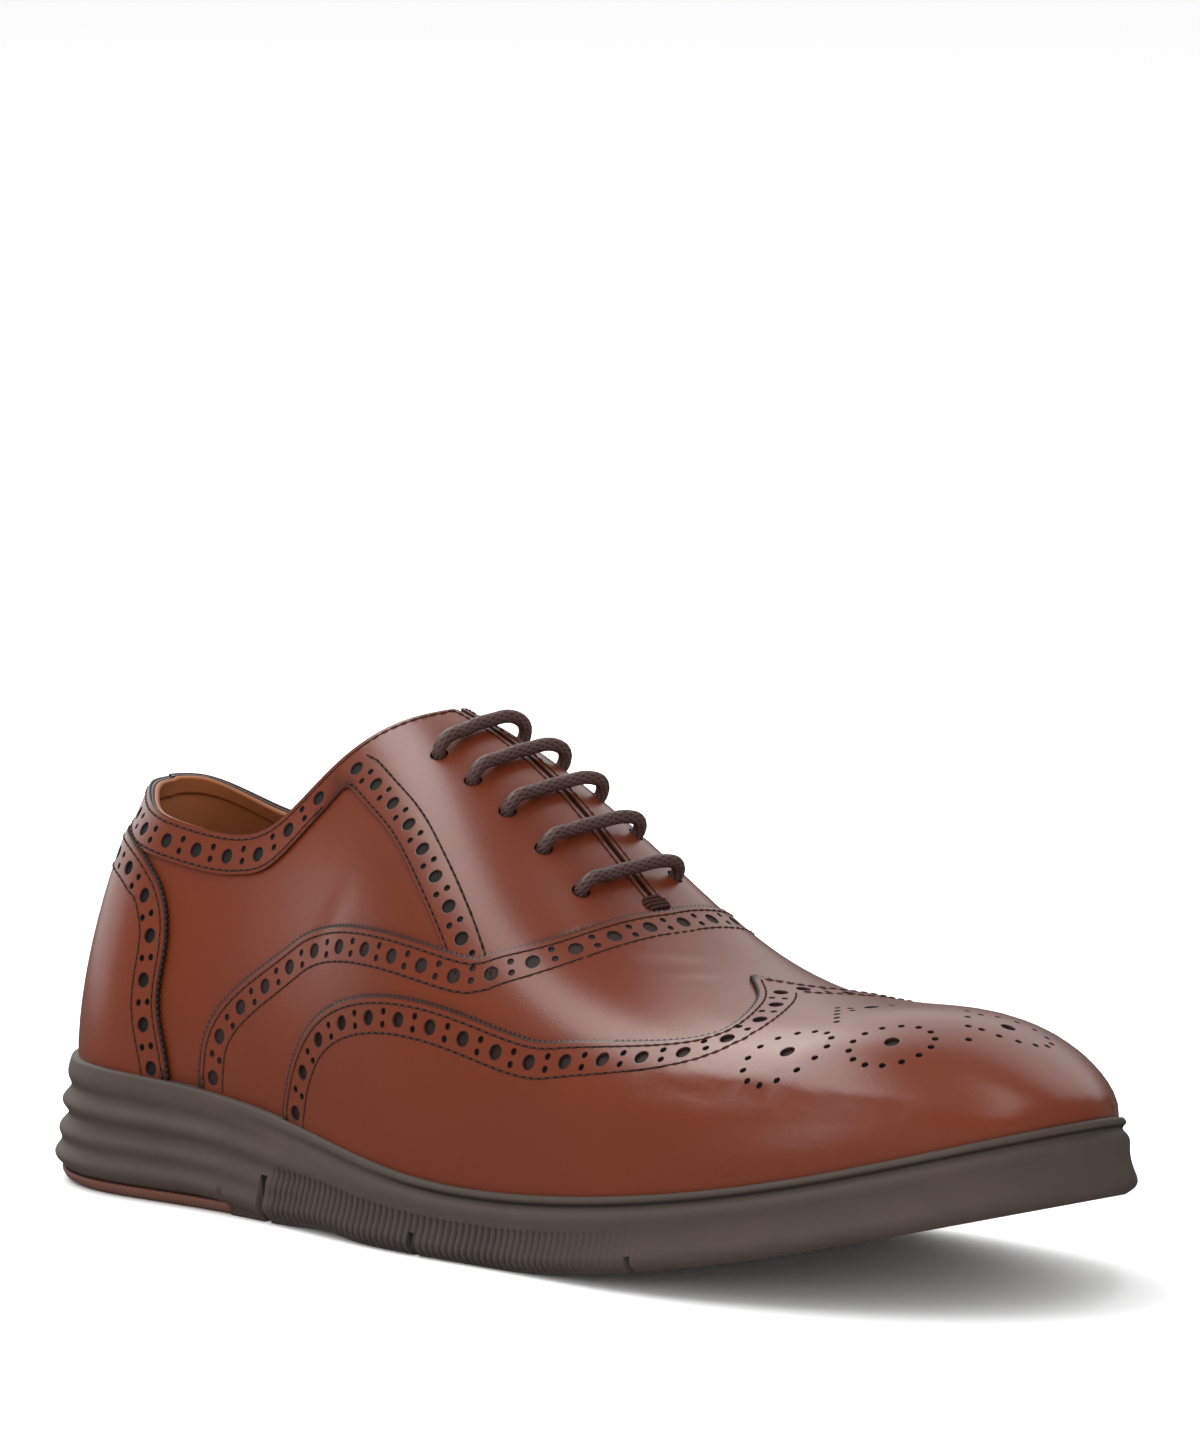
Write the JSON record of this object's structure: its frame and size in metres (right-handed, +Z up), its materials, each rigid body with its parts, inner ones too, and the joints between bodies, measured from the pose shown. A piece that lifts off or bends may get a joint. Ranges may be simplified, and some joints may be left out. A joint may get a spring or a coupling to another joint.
{
  "type": "leather wingtip oxford shoe",
  "caption": "Men's right lace-up dress shoe with a pinked wing cap, punched brogue panels, straight lace bars and a flared unit sole with toe spring.",
  "frame": {"origin": "on the ground under the middle of the heel, on the heel pad's flat tread", "axes": "+X towards the toe, +Y towards the inner side of the foot, +Z up"},
  "size_m": [0.3122, 0.1065, 0.1146],
  "materials": {
    "sole_rubber": "matt moulded",
    "heel_rubber": "matt moulded",
    "lining_leather": "smooth unlacquered",
    "upper_leather": "burnished smooth calf",
    "cap_leather": "burnished and polished calf",
    "tongue_leather": "smooth",
    "lace_cord": "round waxed braid"
  },
  "bodies": {
    "root": {"sole": "sole_rubber", "heel_pad": "heel_rubber", "insole": "lining_leather", "upper": "upper_leather", "wing_cap": "cap_leather", "heel_counter": "cap_leather", "tongue": "tongue_leather", "lace_bar_1": "lace_cord", "lace_bar_2": "lace_cord", "lace_bar_3": "lace_cord", "lace_bar_4": "lace_cord", "lace_bar_5": "lace_cord"}
  },
  "joints": []
}
